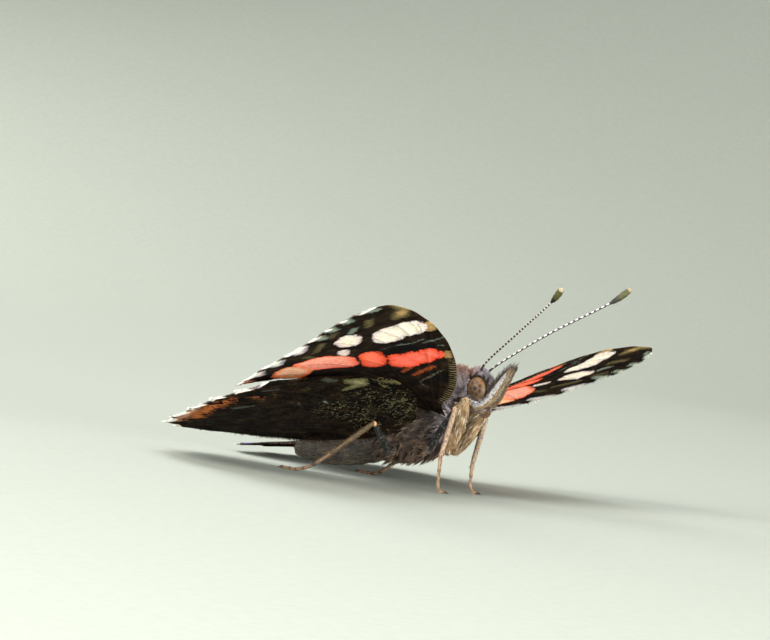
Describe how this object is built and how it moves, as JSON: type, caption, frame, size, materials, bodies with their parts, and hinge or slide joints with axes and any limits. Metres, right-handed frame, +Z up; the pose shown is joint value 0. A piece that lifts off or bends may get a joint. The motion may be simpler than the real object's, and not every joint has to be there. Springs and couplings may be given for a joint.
{
  "type": "red admiral butterfly model",
  "caption": "Life-size red admiral butterfly at rest on its walking legs, wings spread and tilted nose up, feelers forward, brush-like forelegs held up to the breast.",
  "frame": {"origin": "on the floor under the middle of the model's box", "axes": "+X towards the head, +Y to the butterfly's left across the wings, +Z up"},
  "size_m": [0.0378, 0.0594, 0.0217],
  "materials": {
    "head_coat": "lilac-grey and rufous hair",
    "collar_coat": "rufous and grey hair",
    "thorax_coat": "long grey-brown hair",
    "abdomen_coat": "flat olive-grey scales in rings",
    "eye_glaze": "tan compound eye with dark false pupils",
    "palp_scales": "white and tan scales with a dark edge",
    "tongue_skin": "dark brown coiled tongue",
    "feeler_scales": "black with narrow white rings",
    "knob_scales": "olive-black with a cream tip",
    "brush_hair": "tan brush of long hair",
    "femur_scales": "black scales speckled grey",
    "tibia_scales": "tan scales with fine dark speckles",
    "forewing_scales": "black-brown scales with a red band and white marks",
    "hindwing_scales": "dark marbled scales below, brown with a red margin above"
  },
  "bodies": {
    "root": {"head": "head_coat", "collar": "collar_coat", "thorax": "thorax_coat", "abdomen": "abdomen_coat", "eye_right": "eye_glaze", "eye_left": "eye_glaze", "palp_right": "palp_scales", "palp_left": "palp_scales", "tongue": "tongue_skin", "feeler_right": "feeler_scales", "feeler_left": "feeler_scales", "feeler_knob_right": "knob_scales", "feeler_knob_left": "knob_scales", "foreleg_femur_right": "brush_hair", "foreleg_femur_left": "brush_hair", "foreleg_brush_right": "brush_hair", "foreleg_brush_left": "brush_hair", "mid_right_coxa": "thorax_coat", "mid_left_coxa": "thorax_coat", "hind_right_coxa": "thorax_coat", "hind_left_coxa": "thorax_coat", "mid_right_femur": "femur_scales", "mid_left_femur": "femur_scales", "hind_right_femur": "femur_scales", "hind_left_femur": "femur_scales", "mid_right_tibia": "tibia_scales", "mid_left_tibia": "tibia_scales", "hind_right_tibia": "tibia_scales", "hind_left_tibia": "tibia_scales", "mid_right_tarsus": "tibia_scales", "mid_left_tarsus": "tibia_scales", "hind_right_tarsus": "tibia_scales", "hind_left_tarsus": "tibia_scales", "forewing_right": "forewing_scales", "forewing_left": "forewing_scales", "hindwing_right": "hindwing_scales", "hindwing_left": "hindwing_scales"}
  },
  "joints": []
}
